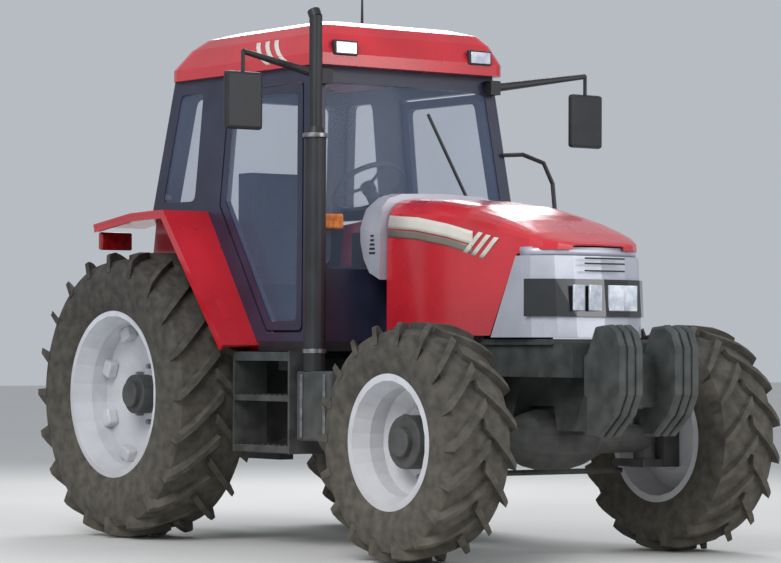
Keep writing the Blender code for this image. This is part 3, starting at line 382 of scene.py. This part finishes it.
# %% [markdown]
# ## Lamps and mirrors
# Work lamps sit in the roof's front, twin lamps in the nose, and markers on the cab and fenders. The roof
# and nose lamps have a dark housing, and every lens is clear or coloured with a fine bump.
# %% Lamps
bar_low, bar_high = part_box("headlamp_bar")
for side, s in (("left", 1), ("right", -1)):
    bm = bmesh.new()
    block(bm, (roof_high.x - 0.004, s * 0.437, roof_low.z + 0.090), (0.030, 0.150, 0.078))
    piece(f"roof_lamp_{side}", bm, "body", FINISHES["black_trim"], 0.008)
    bm = bmesh.new()
    block(bm, (roof_high.x + 0.010, s * 0.437, roof_low.z + 0.090), (0.010, 0.128, 0.060))
    piece(f"roof_lens_{side}", bm, "body", LENS, 0.003)
    bm = bmesh.new()
    for y0, y1 in ((0.020, 0.110), (0.118, 0.200)):
        across = (y0 + y1) / 2
        block(bm, (bar_high.x + 0.002 - 0.10 * across, s * across, (bar_low.z + bar_high.z) / 2),
              (0.012, y1 - y0, 0.125), Matrix.Rotation(-s * 0.16, 4, "Z"))
    piece(f"headlamp_lens_{side}", bm, "hood", LENS, 0.004)
    bm = bmesh.new()
    block(bm, (0.215, s * 0.600, 1.660), (0.075, 0.150, 0.078))
    piece(f"turn_lamp_{side}", bm, "body", AMBER, 0.010)
    fender_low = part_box(f"fender_{side}")[0]
    bm = bmesh.new()
    block(bm, (fender_low.x + 0.020, s * 0.800, 1.600), (0.040, 0.200, 0.100))
    piece(f"tail_lamp_{side}", bm, "body", RED_LENS, 0.012)
    mirror_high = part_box(f"mirror_{side}")[1]
    bm = bmesh.new()
    block(bm, (mirror_high.x - 0.0415, s * 1.110, 2.250), (0.006, 0.190, 0.255))
    piece(f"mirror_glass_{side}", bm, "body", MIRROR, 0.002)
print("lamps done")

# %% [markdown]
# ## Small fittings
# Louvres, wiper, handles, tread bars and the front pin are simple pressed or turned parts. They are
# mostly placed from the boxes of the nodes that carry them.
# %% Nose grooves, wiper and cab details
bm = bmesh.new()
for z in (1.390, 1.425, 1.450):
    block(bm, (bar_high.x - 0.012, 0, z), (0.006, 0.250, 0.008))
piece("nose_louvres", bm, "hood", FINISHES["black_trim"], 0.002)
bm = bmesh.new()
wiper_lean = Matrix.Rotation(0.45, 4, "X") @ Matrix.Rotation(-0.13, 4, "Y")
block(bm, (0.200, 0.230, 1.930), (0.014, 0.014, 0.700), wiper_lean)
piece("windshield_wiper", bm, "body", FINISHES["black_trim"], 0.003)
for side, s in (("left", 1), ("right", -1)):
    low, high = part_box(f"door_{side}")
    bm = bmesh.new()
    block(bm, (low.x + 0.045, s * (high.y if s > 0 else -low.y) * 0.925, 1.500), (0.020, 0.030, 0.140))
    piece(f"door_handle_{side}", bm, f"door_{side}", FINISHES["black_trim"], 0.005)
    low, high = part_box(f"steps_{side}")
    bm = bmesh.new()
    for z in (0.522, 0.777):
        for k in range(9):
            block(bm, ((low.x + high.x) / 2 - 0.20 + 0.05 * k, s * 0.720, z), (0.012, 0.170, 0.006))
    piece(f"tread_bars_{side}", bm, "body", STEEL)
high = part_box("front_weights")[1]
bm = bmesh.new()
barrel(bm, (high.x - 0.200, 0, 0.865), 0.018, 0.300, "Z", 16)
barrel(bm, (high.x - 0.200, 0, 1.020), 0.030, 0.012, "Z", 16)
piece("front_tow_pin", bm, "body", STEEL, 0.002)
low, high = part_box("battery_box")
bm = bmesh.new()
for x in (low.x + 0.05, high.x - 0.05):
    block(bm, (x, low.y - 0.003, (low.z + high.z) / 2), (0.022, 0.006, high.z - low.z - 0.03))
piece("battery_box_straps", bm, "body", STEEL, 0.002)
low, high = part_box("exhaust_stack")
bm = bmesh.new()
barrel(bm, ((low.x + high.x) / 2, (low.y + high.y) / 2, 2.085), 0.064, 0.022, "Z")
barrel(bm, ((low.x + high.x) / 2, (low.y + high.y) / 2, 1.000), 0.061, 0.022, "Z")
piece("exhaust_clamps", bm, "body", STEEL, 0.002)
low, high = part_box("cowl")
for side, s in (("left", 1), ("right", -1)):
    bm = bmesh.new()
    for k in range(5):
        size = (0.050 - 0.006 * k, 0.004, 0.010)
        block(bm, (low.x + 0.105, s * (high.y + 0.001), 1.500 + 0.022 * k), size)
    piece(f"cowl_vent_{side}", bm, "body", FINISHES["black_trim"], 0.001)

# %% [markdown]
# ## Studio
# A pale floor, a soft sky and three large area lights give even light and soft shadows. The camera is a
# long lens near eye height, which keeps the front wheel and the cab in true proportion.
# %% Studio and camera
bm = bmesh.new()
bmesh.ops.create_grid(bm, x_segments=1, y_segments=1, size=60)
floor_data = bpy.data.meshes.new("floor")
bm.to_mesh(floor_data)
bm.free()
floor_data.materials.append(finish("pale floor", "DAD9D6", "D6D5D2", (0.7, 0.8), 2000, 20, 0.02))
floor = bpy.data.objects.new("floor", floor_data)
bpy.context.scene.collection.objects.link(floor)
world = bpy.data.worlds.new("soft sky")
world.use_nodes = True
world.node_tree.nodes["Background"].inputs["Color"].default_value = hex_colour("E6ECF4")
world.node_tree.nodes["Background"].inputs["Strength"].default_value = 0.6
bpy.context.scene.world = world
# name, place, watts, side in metres
AREA_LIGHTS = (("key", (4, -7, 7), 560, 5), ("fill", (8, 3, 4), 240, 5), ("rim", (-6, 4, 6), 300, 4))
for name, at, power, size in AREA_LIGHTS:
    light = bpy.data.lights.new(name, "AREA")
    light.energy = power
    light.size = size
    lamp = bpy.data.objects.new(name, light)
    lamp.location = at
    lamp.rotation_euler = (Vector((0, 0, 1.2)) - Vector(at)).to_track_quat("-Z", "Y").to_euler()
    bpy.context.scene.collection.objects.link(lamp)
bpy.context.scene.view_settings.view_transform = "Standard"

# the camera looks back along the right side, from ahead of the front wheel
YAW, PITCH, ROLL = math.radians(143.81), math.radians(1.32), math.radians(0.22)
ahead = Vector((math.cos(YAW) * math.cos(PITCH), math.sin(YAW) * math.cos(PITCH), math.sin(PITCH)))
across = Vector((math.sin(YAW), -math.cos(YAW), 0))
above = across.cross(ahead)
right = across * math.cos(ROLL) + above * math.sin(ROLL)
up = above * math.cos(ROLL) - across * math.sin(ROLL)
camera_data = bpy.data.cameras.new("camera")
camera_data.lens = 138.3
camera = bpy.data.objects.new("camera", camera_data)
camera.matrix_world = Matrix((right, up, -ahead)).transposed().to_4x4()
camera.location = (12.6985, -9.3369, 1.0039)
bpy.context.scene.collection.objects.link(camera)
bpy.context.scene.camera = camera
